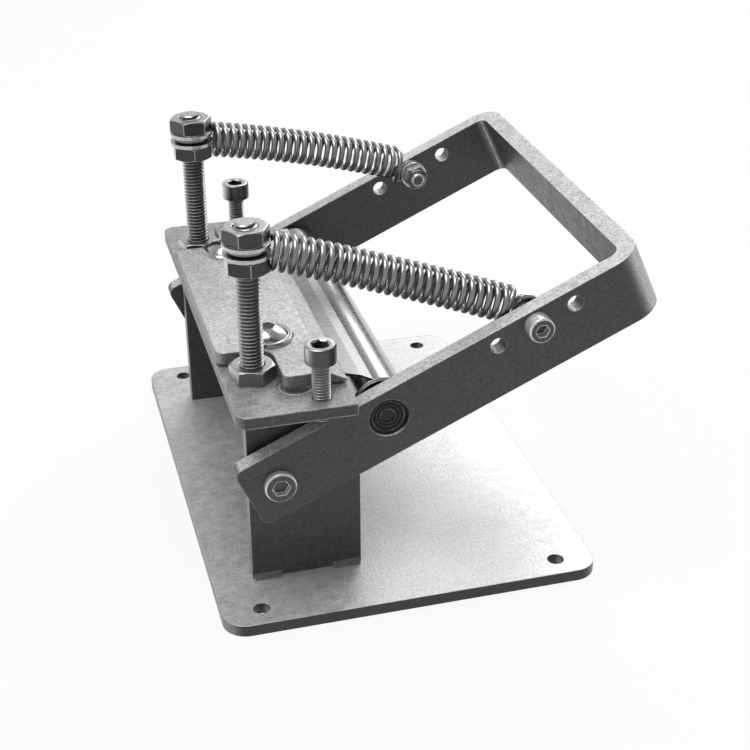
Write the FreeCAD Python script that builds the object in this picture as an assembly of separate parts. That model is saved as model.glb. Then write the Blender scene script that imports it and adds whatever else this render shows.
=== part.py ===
import FreeCAD, Part
import math
import os

# Hand-lever leather splitting machine, sizes in millimetres.
# X points to the handle, Y along the blade, Z up. The origin is the middle
# of the four base holes, on the underside of the base plate.

V = FreeCAD.Vector
X_AXIS = V(1, 0, 0)
Y_AXIS = V(0, 1, 0)
Z_AXIS = V(0, 0, 1)
SIDES = (-1, 1)

# Clearances
running_gap = 0.05        # shaft in a bore that turns or slides on it
thread_gap = 0.03         # screw thread in its tapped hole
side_gap = 0.1            # between faces that slide past each other
tip_gap = 0.1             # adjusting screw tip above the arm
coil_gap = 0.1            # spring loop beside its washers
blade_gap = 0.3           # roller to cutting edge with the arms up
roller_gap = 1.2          # roller to the notch in the uprights
roller_side_gap = 3.0     # roller's end face to the arm
nut_gap = 0.1             # clamp plate and blade to a nut's corner
clamp_screw_gap = 3.5     # clamp plate's lobe to the adjusting screw

# Base plate
base_length = 126.0
base_width = 178.0
base_thickness = 4.0
base_corner_r = 8.0
base_hole_d = 5.5
base_hole_edge_x = 13.0
base_hole_edge_y = 8.0

# Uprights, welded to the base plate
upright_setback = 13.4
upright_depth = 36.6
upright_height = 63.6
upright_thickness = 5.0
upright_side_margin = 24.4
weld_leg = 1.6
weld_length = 9.0
weld_inset = 0.6

# Top plate
top_rear_overhang = 4.3
top_depth = 37.7
top_side_overhang = 12.0
top_thickness = 4.0
top_corner_r = 4.0
plug_hole_d = 12.0
plug_hole_back = 17.3
plug_hole_in = 4.4
plug_hole_depth = 2.6
plug_dish = 0.5

# Blade
blade_thickness = 1.0
blade_reach = 8.3
blade_end_in = 0.3
blade_taper = 5.8
blade_end_slope = 30.0
blade_bevel = 3.4
blade_land = 0.12

# Clamp plate
clamp_thickness = 4.0
clamp_bevel = 6.5
clamp_tip = 0.4
clamp_back_gap = 1.49
clamp_corner_r = 3.0
clamp_notch_x = 1.6
clamp_notch_r = 5.5
clamp_lobe_r = 2.5
clamp_hole_d = 9.0

# Clamp screws, M8 button head with flange
clamp_screw_in = 18.0
clamp_screw_near_in = 7.7
clamp_screw_far_in = 4.9
button_flange_d = 17.5
button_flange_h = 1.3
button_dome_d = 14.0
button_head_h = 4.4
button_socket_af = 5.0
button_socket_depth = 2.5
clamp_screw_length = 12.0
m8_d = 8.0

# Spring studs and their nuts
stud_in = 9.8
stud_side_in = 13.1
stud_length = 56.9
stud_end_chamfer = 0.8
m8_nut_af = 13.0
m8_nut_h = 5.0
m8_washer_d = 15.0
m8_washer_h = 1.2
lower_nut_drop = 15.9
base_nut_turn = 44.0
lower_nut_turn = 28.0
top_nut_turn = 2.0
nut_chamfer_angle = 30.0

# Adjusting screws, M6 x 20 socket head
adjust_in = 27.7
adjust_side = 0.4         # outward of the middle of the arm
m6_d = 6.0
adjust_length = 20.0
adjust_head_d = 10.0
adjust_head_h = 6.0
adjust_socket_af = 5.0
adjust_socket_depth = 3.2
head_edge = 0.5

# Handle frame, one bent flat bar in the shape of a U
frame_tilt = 24.43
pivot_in = 8.73
pivot_height = 39.86
bar_thickness = 6.0
bar_height = 22.5
frame_front_u = 134.5
frame_rear_u = -10.65
bend_inner_r = 4.0
frame_end_r = 3.0
spring_hole_d = 5.4
spring_hole_back = 53.9
spring_hole_v = 6.1
spring_hole_pitch = 13.7
spring_hole_count = 3
anchor_hole_no = 1

# Pivot screws, M6 flat head
pivot_head_d = 10.4
pivot_head_h = 2.4
pivot_socket_af = 5.0
pivot_socket_depth = 1.8
pivot_washer_d = 12.0
pivot_washer_h = 1.5
pivot_end_out = 1.5

# Bearings 5 x 13 x 4 and roller
bearing_u = 40.0
bearing_v = 2.1
bearing_bore_d = 5.0
bearing_outer_d = 13.0
bearing_width = 4.0
bearing_inset = 1.0
bearing_outer_land_d = 10.4
bearing_inner_land_d = 7.7
bearing_inner_step = 0.4
ball_d = 2.0
ball_circle_d = 9.0
ball_count = 7
ball_gap = 0.04
shield_thickness = 0.3
shield_inset = 0.6
roller_rim = 0.8
shoulder_d = 7.0
journal_drop = 1.0
journal_chamfer = 0.4

# Spring anchors, M5 x 16 socket head
m5_d = 5.0
anchor_head_d = 8.5
anchor_head_h = 5.0
anchor_socket_af = 4.0
anchor_socket_depth = 2.5
m5_washer_d = 10.0
m5_washer_h = 1.0
m5_nut_af = 8.0
m5_nut_h = 3.6
m5_collar_d = 7.0
m5_collar_h = 1.4
m5_collar_edge = 0.5
anchor_end_out = 0.8
anchor_nut_turn = 12.0
screw_tip_chamfer = 0.6

# Springs
wire_d = 1.95
coil_r = 5.32
coil_turns = 26
rear_loop_r = 5.3
rear_loop_turn = 270.0
front_loop_r = 3.8
front_loop_turn = 280.0
near_hook_angle = 180.0
far_hook_angle = 250.0
coil_start_out = 7.7      # coil's rear end, from the stud's axis
coil_start_drop = 1.575
near_coil_back = 8.43     # near coil's front end, from the anchor's axis
near_coil_in = 4.74
near_coil_up = 3.13
near_bow = 0.56
near_last_turn = 27.0
far_coil_back = 3.71
far_coil_in = 4.35
far_coil_up = 5.23
far_bow = 1.55
far_last_turn = 24.25
far_turn_back = 8.46      # where the far coil turns off, from its hook
far_turn_in = 4.33
far_turn_down = 0.21
path_step = 0.4

# Heights that follow from the sizes
base_top = base_thickness
upright_top = base_top + upright_height
plate_top = upright_top + top_thickness
clamp_bottom = plate_top + blade_thickness
clamp_top = clamp_bottom + clamp_thickness
stud_top_z = upright_top + stud_length
lower_nut_z = stud_top_z - lower_nut_drop
pivot_z = base_top + pivot_height

# Places along X
upright_rear_x = upright_setback - base_length / 2
upright_front_x = upright_rear_x + upright_depth
pivot_x = upright_rear_x + pivot_in
plug_hole_x = upright_rear_x + plug_hole_back
top_rear_x = upright_rear_x - top_rear_overhang
top_front_x = top_rear_x + top_depth
stud_x = top_rear_x + stud_in
adjust_x = top_rear_x + adjust_in
clamp_screw_x = top_rear_x + clamp_screw_in
blade_edge_x = top_front_x + blade_reach
nut_corner_r = m8_nut_af / math.sqrt(3)
clamp_lobe_x = stud_x + nut_corner_r + nut_gap
blade_rear_x = clamp_lobe_x

# Places along Y
upright_outer_y = base_width / 2 - upright_side_margin
upright_inner_y = upright_outer_y - upright_thickness
frame_inner_y = upright_outer_y + pivot_washer_h + side_gap
frame_outer_y = frame_inner_y + bar_thickness
top_half = upright_outer_y + top_side_overhang
stud_y = upright_outer_y - stud_side_in
plug_hole_y = upright_outer_y - plug_hole_in
adjust_y = (frame_inner_y + frame_outer_y) / 2 + adjust_side
roller_half = frame_inner_y - roller_side_gap
clamp_lobe_half = adjust_y - m6_d / 2 - clamp_screw_gap
clamp_back_half = stud_y - nut_corner_r - clamp_back_gap
blade_edge_half = clamp_lobe_half - blade_end_in
blade_rear_half = blade_edge_half - blade_taper
clamp_screw_near_y = clamp_screw_near_in - clamp_back_half
clamp_screw_far_y = clamp_back_half - clamp_screw_far_in
clamp_screw_ys = (clamp_screw_near_y, clamp_screw_far_y)

# The lever, in its own directions
bar_top_v = bar_height / 2
bar_bottom_v = -bar_height / 2
spring_hole_u = frame_front_u - spring_hole_back
tilt = math.radians(frame_tilt)


def arm_point(u, v, y=0.0):
    """A point given along (u) and across (v) the tilted arm."""
    x = pivot_x + u * math.cos(tilt) - v * math.sin(tilt)
    z = pivot_z + u * math.sin(tilt) + v * math.cos(tilt)
    return V(x, y, z)


def tilted(shape):
    """Turn a shape drawn with a level arm to the arm's tilt at rest."""
    shape.rotate(V(0, 0, 0), Y_AXIS, -frame_tilt)
    shape.translate(V(pivot_x, 0, pivot_z))
    return shape


roller_axis = arm_point(bearing_u, bearing_v)
roller_r = math.hypot(roller_axis.x - blade_edge_x, roller_axis.z - plate_top) - blade_gap
anchor_u = spring_hole_u + anchor_hole_no * spring_hole_pitch
anchor_axis = arm_point(anchor_u, spring_hole_v)


def save(name, shapes):
    """Write one piece, or a group of alike pieces, to its own file."""
    solids = []
    for shape in shapes:
        solids.extend(shape.Solids)
    for solid in solids:
        if not solid.isValid():
            print("not valid:", name)
    whole = solids[0]
    if len(solids) > 1:
        whole = Part.makeCompound(solids)
    whole.exportStep("parts/" + name + ".step")
    volume = sum(solid.Volume for solid in solids)
    print(name, len(solids), round(volume, 2))


def cylinder(radius, height, base, axis=Z_AXIS):
    return Part.makeCylinder(radius, height, base, axis)


def turned(points, base, axis=Z_AXIS):
    """Turn a closed outline of (radius, height) about an axis."""
    wire = Part.makePolygon([V(r, 0, h) for r, h in points] + [V(points[0][0], 0, points[0][1])])
    solid = Part.Face(wire).revolve(V(0, 0, 0), Z_AXIS, 360)
    solid.Placement = FreeCAD.Placement(base, FreeCAD.Rotation(Z_AXIS, axis))
    return solid


def hexagon(across_flats, height, base, axis=Z_AXIS, turn=0.0):
    """A hexagonal bar standing on base, turned about its own axis."""
    radius = across_flats / math.sqrt(3)
    points = []
    for step in range(7):
        angle = math.radians(turn + 60 * step)
        points.append(V(radius * math.cos(angle), radius * math.sin(angle), 0))
    bar = Part.Face(Part.makePolygon(points)).extrude(V(0, 0, height))
    bar.Placement = FreeCAD.Placement(base, FreeCAD.Rotation(Z_AXIS, axis))
    return bar


def nut(across_flats, height, bore_d, base, axis=Z_AXIS, turn=0.0):
    """A hexagon nut with both ends chamfered and a plain bore."""
    flat_r = across_flats / 2
    corner_r = across_flats / math.sqrt(3)
    drop = (corner_r - flat_r) * math.tan(math.radians(nut_chamfer_angle))
    outline = [
        (0, 0),
        (flat_r, 0),
        (corner_r, drop),
        (corner_r, height - drop),
        (flat_r, height),
        (0, height),
    ]
    body = hexagon(across_flats, height, base, axis, turn)
    body = body.common(turned(outline, base, axis))
    return body.cut(cylinder(bore_d / 2, height, base, axis))


def washer(outer_d, bore_d, height, base, axis=Z_AXIS):
    return cylinder(outer_d / 2, height, base, axis).cut(cylinder(bore_d / 2, height, base, axis))


def cap_screw(thread_d, length, head_d, head_h, socket_af, socket_depth, seat, axis):
    """A socket head screw whose head sits on seat and points along axis."""
    tip_r = thread_d / 2 - screw_tip_chamfer
    outline = [
        (0, -length),
        (tip_r, -length),
        (thread_d / 2, -length + screw_tip_chamfer),
        (thread_d / 2, 0),
        (head_d / 2, 0),
        (head_d / 2, head_h - head_edge),
        (head_d / 2 - head_edge, head_h),
        (0, head_h),
    ]
    body = turned(outline, seat, axis)
    floor = seat + axis * (head_h - socket_depth)
    return body.cut(hexagon(socket_af, socket_depth, floor, axis))


def rounded_plate(x0, x1, half_y, z0, thickness, radii):
    """A plate with corner radii at rear near, front near, front far, rear far."""
    corners = [V(x0, -half_y, z0), V(x1, -half_y, z0), V(x1, half_y, z0), V(x0, half_y, z0)]
    return rounded_prism(corners, radii, thickness)


def rounded_prism(corners, radii, thickness):
    """Extrude a polygon upwards with each corner rounded by its own radius."""
    edges = []
    starts = []
    ends = []
    count = len(corners)
    for i in range(count):
        here = corners[i]
        back = (corners[i - 1] - here).normalize()
        ahead = (corners[(i + 1) % count] - here).normalize()
        radius = radii[i]
        if radius == 0:
            starts.append(here)
            ends.append(here)
            edges.append(None)
            continue
        half = back.getAngle(ahead) / 2
        reach = radius / math.tan(half)
        middle = (back + ahead).normalize()
        centre = here + middle * (radius / math.sin(half))
        starts.append(here + back * reach)
        ends.append(here + ahead * reach)
        edges.append(Part.Arc(starts[i], centre - middle * radius, ends[i]).toShape())
    wire = []
    for i in range(count):
        if edges[i] is not None:
            wire.append(edges[i])
        following = (i + 1) % count
        wire.append(Part.LineSegment(ends[i], starts[following]).toShape())
    face = Part.Face(Part.Wire(wire))
    return face.extrude(V(0, 0, thickness))


def make_base_plate():
    half_x = base_length / 2
    half_y = base_width / 2
    plate = rounded_plate(-half_x, half_x, half_y, 0, base_thickness, [base_corner_r] * 4)
    for sign_x in SIDES:
        for sign_y in SIDES:
            x = sign_x * (half_x - base_hole_edge_x)
            y = sign_y * (half_y - base_hole_edge_y)
            plate = plate.cut(cylinder(base_hole_d / 2, base_thickness, V(x, y, 0)))
    save("base_plate", [plate])


def make_upright(side, name):
    """A flat plate on edge, notched at the top front to clear the roller."""
    inner_y = min(side * upright_outer_y, side * upright_inner_y)
    corner = V(upright_rear_x, inner_y, base_top)
    plate = Part.makeBox(upright_depth, upright_thickness, upright_height, corner)
    notch_r = roller_r + roller_gap
    start = V(roller_axis.x, inner_y, roller_axis.z)
    plate = plate.cut(cylinder(notch_r, upright_thickness, start, Y_AXIS))
    screw = V(pivot_x, inner_y, pivot_z)
    plate = plate.cut(cylinder(m6_d / 2 + thread_gap, upright_thickness, screw, Y_AXIS))
    face_y = side * upright_outer_y
    for x in (upright_rear_x + weld_inset, upright_front_x - weld_inset - weld_length):
        bead = Part.makePolygon([
            V(x, face_y, base_top),
            V(x, face_y + side * weld_leg, base_top),
            V(x, face_y, base_top + weld_leg),
            V(x, face_y, base_top),
        ])
        plate = plate.fuse(Part.Face(bead).extrude(V(weld_length, 0, 0)))
    save(name, [plate.removeSplitter()])


def make_top_plate():
    """The plate that carries the blade, with a round pit for each plug weld."""
    radii = [top_corner_r, 0, 0, top_corner_r]
    plate = rounded_plate(top_rear_x, top_front_x, top_half, upright_top, top_thickness, radii)
    for side in SIDES:
        for x, y, d in ((stud_x, stud_y, m8_d), (adjust_x, adjust_y, m6_d)):
            gap = thread_gap if d == m8_d else running_gap
            place = V(x, side * y, upright_top)
            plate = plate.cut(cylinder(d / 2 + gap, top_thickness, place))
        pit = V(plug_hole_x, side * plug_hole_y, plate_top - plug_hole_depth)
        plate = plate.cut(cylinder(plug_hole_d / 2, plug_hole_depth, pit))
        dish_r = (plug_hole_d ** 2 / 4 + plug_dish ** 2) / (2 * plug_dish)
        plate = plate.cut(Part.makeSphere(dish_r, pit + V(0, 0, dish_r - plug_dish)).common(
            cylinder(plug_hole_d / 2, plug_hole_depth, pit - V(0, 0, plug_dish))))
    for y in clamp_screw_ys:
        place = V(clamp_screw_x, y, upright_top)
        plate = plate.cut(cylinder(m8_d / 2 + thread_gap, top_thickness, place))
    save("top_plate", [plate])


def make_blade():
    """A flat blade with slanted ends, a ground bevel and two open slots."""
    rear_x = blade_rear_x
    slope = math.tan(math.radians(blade_end_slope))
    turn_x = blade_edge_x - (blade_edge_half - blade_rear_half) / slope
    half = [(blade_edge_x, blade_edge_half), (turn_x, blade_rear_half), (rear_x, blade_rear_half)]
    outline = [V(x, y, plate_top) for x, y in half]
    outline += [V(x, -y, plate_top) for x, y in reversed(half)]
    blade = Part.Face(Part.makePolygon(outline + [outline[0]])).extrude(V(0, 0, blade_thickness))
    bevel = Part.makePolygon([
        V(blade_edge_x - blade_bevel, -blade_edge_half, clamp_bottom),
        V(blade_edge_x, -blade_edge_half, plate_top + blade_land),
        V(blade_edge_x, -blade_edge_half, clamp_bottom),
        V(blade_edge_x - blade_bevel, -blade_edge_half, clamp_bottom),
    ])
    blade = blade.cut(Part.Face(bevel).extrude(V(0, 2 * blade_edge_half, 0)))
    for y in clamp_screw_ys:
        slot_r = clamp_hole_d / 2
        length = clamp_screw_x - rear_x
        blade = blade.cut(cylinder(slot_r, blade_thickness, V(clamp_screw_x, y, plate_top)))
        corner = V(rear_x, y - slot_r, plate_top)
        blade = blade.cut(Part.makeBox(length, clamp_hole_d, blade_thickness, corner))
    save("blade", [blade])


def make_clamp_plate():
    """The plate over the blade: bevelled front, lobes that pass the stud nuts."""
    back = top_rear_x
    front = top_front_x
    notch_x = clamp_lobe_x - clamp_notch_x
    half = [
        (front, clamp_lobe_half, 0),
        (clamp_lobe_x, clamp_lobe_half, clamp_lobe_r),
        (clamp_lobe_x, clamp_back_half + clamp_notch_r, 0),
        (notch_x, clamp_back_half, clamp_notch_r),
        (back, clamp_back_half, clamp_corner_r),
    ]
    corners = [V(x, y, clamp_bottom) for x, y, r in half]
    corners += [V(x, -y, clamp_bottom) for x, y, r in reversed(half)]
    radii = [r for x, y, r in half] + [r for x, y, r in reversed(half)]
    plate = rounded_prism(corners, radii, clamp_thickness)
    bevel = Part.makePolygon([
        V(front - clamp_bevel, -clamp_lobe_half, clamp_top),
        V(front, -clamp_lobe_half, clamp_bottom + clamp_tip),
        V(front, -clamp_lobe_half, clamp_top),
        V(front - clamp_bevel, -clamp_lobe_half, clamp_top),
    ])
    plate = plate.cut(Part.Face(bevel).extrude(V(0, 2 * clamp_lobe_half, 0)))
    for y in clamp_screw_ys:
        place = V(clamp_screw_x, y, clamp_bottom)
        plate = plate.cut(cylinder(clamp_hole_d / 2, clamp_thickness, place))
    save("clamp_plate", [plate])


def make_clamp_screws():
    """Button head screws: a flange, a domed head and a hexagon socket."""
    screws = []
    for y in clamp_screw_ys:
        seat = V(clamp_screw_x, y, clamp_top)
        rise = button_head_h - button_flange_h
        dome_r = button_dome_d / 2
        sphere_r = (dome_r ** 2 + rise ** 2) / (2 * rise)
        dome = Part.makeSphere(sphere_r, seat + V(0, 0, button_head_h - sphere_r))
        above = cylinder(dome_r, rise, seat + V(0, 0, button_flange_h))
        head = above.common(dome)
        flange_r = button_flange_d / 2
        outline = [
            (0, -clamp_screw_length),
            (m8_d / 2 - stud_end_chamfer, -clamp_screw_length),
            (m8_d / 2, stud_end_chamfer - clamp_screw_length),
            (m8_d / 2, 0),
            (flange_r, 0),
            (flange_r, button_flange_h / 2),
            (flange_r - button_flange_h / 2, button_flange_h),
            (0, button_flange_h),
        ]
        screw = turned(outline, seat).fuse(head)
        floor = seat + V(0, 0, button_head_h - button_socket_depth)
        socket = hexagon(button_socket_af, button_socket_depth, floor)
        screws.append(screw.cut(socket).removeSplitter())
    save("clamp_screws", screws)


def make_studs():
    """Threaded rods screwed into the top plate, with the nuts that hold them."""
    studs = []
    base_nuts = []
    lower_nuts = []
    top_nuts = []
    washers = []
    lower_washer_z = lower_nut_z + m8_nut_h
    upper_washer_z = lower_washer_z + m8_washer_h + wire_d + 2 * coil_gap
    top_nut_z = upper_washer_z + m8_washer_h
    thread_r = m8_d / 2
    bore_d = m8_d + 2 * thread_gap
    for side in SIDES:
        foot = V(stud_x, side * stud_y, upright_top)
        length = stud_top_z - upright_top
        outline = [
            (0, 0),
            (thread_r - stud_end_chamfer, 0),
            (thread_r, stud_end_chamfer),
            (thread_r, length - stud_end_chamfer),
            (thread_r - stud_end_chamfer, length),
            (0, length),
        ]
        studs.append(turned(outline, foot))
        axis_x = foot.x
        axis_y = foot.y
        base = V(axis_x, axis_y, plate_top)
        base_nuts.append(nut(m8_nut_af, m8_nut_h, bore_d, base, turn=base_nut_turn))
        lower = V(axis_x, axis_y, lower_nut_z)
        lower_nuts.append(nut(m8_nut_af, m8_nut_h, bore_d, lower, turn=lower_nut_turn))
        top = V(axis_x, axis_y, top_nut_z)
        top_nuts.append(nut(m8_nut_af, m8_nut_h, bore_d, top, turn=top_nut_turn))
        for z in (lower_washer_z, upper_washer_z):
            washers.append(washer(m8_washer_d, bore_d, m8_washer_h, V(axis_x, axis_y, z)))
    save("spring_studs", studs)
    save("stud_base_nuts", base_nuts)
    save("stud_lower_nuts", lower_nuts)
    save("stud_top_nuts", top_nuts)
    save("stud_washers", washers)


def make_adjusting_screw(side, name):
    """The arm rests under this screw's tip, which sets the gap at the blade."""
    tip_r = m6_d / 2 - screw_tip_chamfer
    top_line = arm_point(0, bar_top_v)
    tip_z = top_line.z + (adjust_x + tip_r - top_line.x) * math.tan(tilt) + tip_gap
    seat = V(adjust_x, side * adjust_y, tip_z + adjust_length)
    screw = cap_screw(m6_d, adjust_length, adjust_head_d, adjust_head_h,
                      adjust_socket_af, adjust_socket_depth, seat, Z_AXIS)
    save(name, [screw])


def make_handle_frame():
    """The U-shaped lever: two arms and a cross bar bent from one flat bar."""
    outer_r = bend_inner_r + bar_thickness
    outer = rounded_plate(frame_rear_u, frame_front_u, frame_outer_y,
                          bar_bottom_v, bar_height, [0, outer_r, outer_r, 0])
    inner = rounded_plate(frame_rear_u - bar_thickness, frame_front_u - bar_thickness,
                          frame_inner_y, bar_bottom_v, bar_height,
                          [0, bend_inner_r, bend_inner_r, 0])
    frame = outer.cut(inner)
    rear_edges = []
    for edge in frame.Edges:
        box = edge.BoundBox
        at_rear = abs(box.XMax - frame_rear_u) < thread_gap
        if at_rear and box.YLength > bar_thickness / 2 and box.ZLength < thread_gap:
            rear_edges.append(edge)
    frame = frame.makeFillet(frame_end_r, rear_edges)
    full = 2 * frame_outer_y
    holes = [(0, 0, m6_d / 2 + running_gap), (bearing_u, bearing_v, bearing_outer_d / 2)]
    for step in range(spring_hole_count):
        u = spring_hole_u + step * spring_hole_pitch
        holes.append((u, spring_hole_v, spring_hole_d / 2))
    for u, v, radius in holes:
        frame = frame.cut(cylinder(radius, full, V(u, -frame_outer_y, v), Y_AXIS))
    save("handle_frame", [tilted(frame)])


def make_pivots():
    """Low head screws that the arms turn on, with a washer inside each arm."""
    screws = []
    washers = []
    for side in SIDES:
        axis = V(0, side, 0)
        seat = V(pivot_x, side * (frame_outer_y + side_gap), pivot_z)
        length = frame_outer_y + side_gap - upright_inner_y + pivot_end_out
        screws.append(cap_screw(m6_d, length, pivot_head_d, pivot_head_h,
                                pivot_socket_af, pivot_socket_depth, seat, axis))
        start = V(pivot_x, side * upright_outer_y, pivot_z)
        bore = m6_d + 2 * thread_gap
        washers.append(washer(pivot_washer_d, bore, pivot_washer_h, start, axis))
    save("pivot_screws", screws)
    save("pivot_washers", washers)


def ring_with_groove(inner_r, outer_r, groove_r, step):
    """A bearing ring about Z, set back by step, with its ball groove."""
    start = V(0, 0, step)
    width = bearing_width - 2 * step
    ring = cylinder(outer_r, width, start).cut(cylinder(inner_r, width, start))
    return ring.cut(Part.makeTorus(ball_circle_d / 2, groove_r, V(0, 0, bearing_width / 2)))


def make_bearings():
    """Ball bearings pressed into the arms, with a thin shield on each face."""
    outers = []
    inners = []
    balls = []
    groove_r = ball_d / 2 + ball_gap
    outer_land = bearing_outer_land_d / 2
    inner_land = bearing_inner_land_d / 2
    for side in SIDES:
        axis = V(0, side, 0)
        face_y = frame_outer_y - bearing_inset - bearing_width
        start = roller_axis + V(0, side * face_y, 0)
        place = FreeCAD.Placement(start, FreeCAD.Rotation(Z_AXIS, axis))
        outer = ring_with_groove(outer_land, bearing_outer_d / 2, groove_r, 0)
        for z in (shield_inset, bearing_width - shield_inset - shield_thickness):
            shield = cylinder(outer_land, shield_thickness, V(0, 0, z))
            shield = shield.cut(cylinder(inner_land + side_gap, shield_thickness, V(0, 0, z)))
            outer = outer.fuse(shield)
        outer.Placement = place
        outers.append(outer.removeSplitter())
        inner = ring_with_groove(bearing_bore_d / 2, inner_land, groove_r, bearing_inner_step)
        inner.Placement = place
        inners.append(inner)
        for step in range(ball_count):
            angle = 2 * math.pi * step / ball_count
            radius = ball_circle_d / 2
            centre = V(radius * math.cos(angle), radius * math.sin(angle), bearing_width / 2)
            balls.append(Part.makeSphere(ball_d / 2, place.multVec(centre)))
    save("bearing_outer_rings", outers)
    save("bearing_inner_rings", inners)
    save("bearing_balls", balls)


def make_roller():
    """A solid roller turned down at each end to fit the bearings."""
    body_r = roller_r
    journal_r = bearing_bore_d / 2
    inner_face = frame_outer_y - bearing_inset - bearing_width + bearing_inner_step
    end = frame_outer_y - bearing_inset - journal_drop
    half = [
        (body_r, roller_half - roller_rim),
        (body_r - roller_rim, roller_half),
        (shoulder_d / 2, roller_half),
        (shoulder_d / 2, inner_face),
        (journal_r, inner_face),
        (journal_r, end - journal_chamfer),
        (journal_r - journal_chamfer, end),
        (0, end),
    ]
    outline = half + [(r, -h) for r, h in reversed(half)]
    save("roller", [turned(outline, roller_axis, Y_AXIS)])


def lock_nut(base, axis):
    """An M5 nut with a round collar at its outer end."""
    hexagonal = nut(m5_nut_af, m5_nut_h, m5_d + 2 * thread_gap, base, axis, anchor_nut_turn)
    collar_r = m5_collar_d / 2
    outline = [
        (0, 0),
        (collar_r, 0),
        (collar_r, m5_collar_h - m5_collar_edge),
        (collar_r - m5_collar_edge, m5_collar_h),
        (0, m5_collar_h),
    ]
    top = base + axis * m5_nut_h
    collar = turned(outline, top, axis)
    collar = collar.cut(cylinder(m5_d / 2 + thread_gap, m5_collar_h, top, axis))
    return hexagonal.fuse(collar).removeSplitter()


def make_anchors():
    """Screws through the middle spring holes that hold the front loops."""
    screws = []
    washers = []
    nuts = []
    bore = m5_d + 2 * thread_gap
    for side in SIDES:
        inward = V(0, -side, 0)
        first = frame_inner_y - m5_washer_h
        second = first - 2 * coil_gap - wire_d - m5_washer_h
        nut_y = second - m5_nut_h - m5_collar_h
        end_y = nut_y - anchor_end_out
        seat = anchor_axis + V(0, side * frame_outer_y, 0)
        screws.append(cap_screw(m5_d, frame_outer_y - end_y, anchor_head_d, anchor_head_h,
                                anchor_socket_af, anchor_socket_depth, seat, V(0, side, 0)))
        for y in (first, second):
            start = anchor_axis + V(0, side * (y + m5_washer_h), 0)
            washers.append(washer(m5_washer_d, bore, m5_washer_h, start, inward))
        start = anchor_axis + V(0, side * second, 0)
        nuts.append(lock_nut(start, inward))
    save("anchor_screws", screws)
    save("anchor_washers", washers)
    save("anchor_nuts", nuts)


def coil_ends(side):
    """The two ends of the coil's middle line, its bow and its last turn."""
    loop_z = lower_nut_z + m8_nut_h + m8_washer_h + coil_gap + wire_d / 2
    start = V(stud_x + coil_start_out, side * stud_y, loop_z - coil_start_drop)
    loop_y = frame_inner_y - m5_washer_h - coil_gap - wire_d / 2
    back, inward, up = near_coil_back, near_coil_in, near_coil_up
    bow, last_turn = near_bow, near_last_turn
    if side > 0:
        back, inward, up = far_coil_back, far_coil_in, far_coil_up
        bow, last_turn = far_bow, far_last_turn
    finish = V(anchor_axis.x - back, side * (loop_y - inward), anchor_axis.z + up)
    hook = V(anchor_axis.x, side * loop_y, anchor_axis.z)
    stud = V(stud_x, side * stud_y, loop_z)
    return start, finish, bow, last_turn, stud, hook


def coil_point(turn, ends):
    """The middle of the wire after so many turns of the coil."""
    start, finish, bow = ends[:3]
    share = turn / coil_turns
    lift = 4 * bow * share * (1 - share)
    middle = start + (finish - start) * share + V(0, 0, lift)
    along = finish - start + V(0, 0, 4 * bow * (1 - 2 * share))
    along.normalize()
    up = Z_AXIS - along * along.dot(Z_AXIS)
    up.normalize()
    across = up.cross(along)
    angle = 2 * math.pi * turn
    return middle + (up * math.cos(angle) - across * math.sin(angle)) * coil_r


def coil_station(turn, ends):
    """A point on the coil with the direction of the wire there."""
    small = 0.001
    ahead = coil_point(turn + small, ends)
    behind = coil_point(turn - small, ends)
    return coil_point(turn, ends), (ahead - behind).normalize()


def loop_station(centre, radius, right, up, angle, way):
    """A point on a flat loop, and the wire's direction there."""
    a = math.radians(angle)
    out = right * math.cos(a) + up * math.sin(a)
    ahead = (up * math.cos(a) - right * math.sin(a)) * way
    return centre + out * radius, ahead


def spring_stations(side):
    """Points and directions from the free end at the stud to the anchor."""
    ends = coil_ends(side)
    last_turn, stud, hook = ends[3:]
    stations = []
    steps = 4
    for step in range(steps + 1):
        angle = 90 + rear_loop_turn * (1 - step / steps)
        stations.append(loop_station(stud, rear_loop_r, X_AXIS, Y_AXIS, angle, -1))
    clear_r = m8_washer_d / 2 + wire_d / 2 + coil_gap
    exit_x = math.sqrt(clear_r ** 2 - rear_loop_r ** 2)
    exit_way = V(0.6, -0.7, 0).normalize()
    stations.append((stud + V(exit_x, rear_loop_r, 0), exit_way))
    for half_turn in range(math.ceil(2 * last_turn)):
        stations.append(coil_station(half_turn / 2, ends))
    stations.append(coil_station(last_turn, ends))
    clear_r = m5_washer_d / 2 + wire_d / 2 + coil_gap
    entry = near_hook_angle
    if side > 0:
        entry = far_hook_angle
        turn_off = hook - V(far_turn_back, far_turn_in, far_turn_down)
        stations.append((turn_off, Y_AXIS))
    run = math.sqrt(clear_r ** 2 - front_loop_r ** 2)
    first, way = loop_station(hook, front_loop_r, X_AXIS, Z_AXIS, entry, 1)
    stations.append((first - way * run, way))
    for step in range(steps + 1):
        angle = entry + front_loop_turn * step / steps
        stations.append(loop_station(hook, front_loop_r, X_AXIS, Z_AXIS, angle, 1))
    return stations


def arc_through(start, direction, finish):
    """The arc that leaves start along a direction and ends at finish."""
    chord = finish - start
    length = chord.Length
    unit = V(chord).normalize()
    lean = direction - unit * direction.dot(unit)
    if lean.Length < 1e-6:
        return Part.LineSegment(start, finish).toShape(), 1e9
    angle = direction.getAngle(chord)
    middle = (start + finish) * 0.5 + lean.normalize() * (length / 2 * math.tan(angle / 2))
    return Part.Arc(start, middle, finish).toShape(), length / (2 * math.sin(angle))


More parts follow.
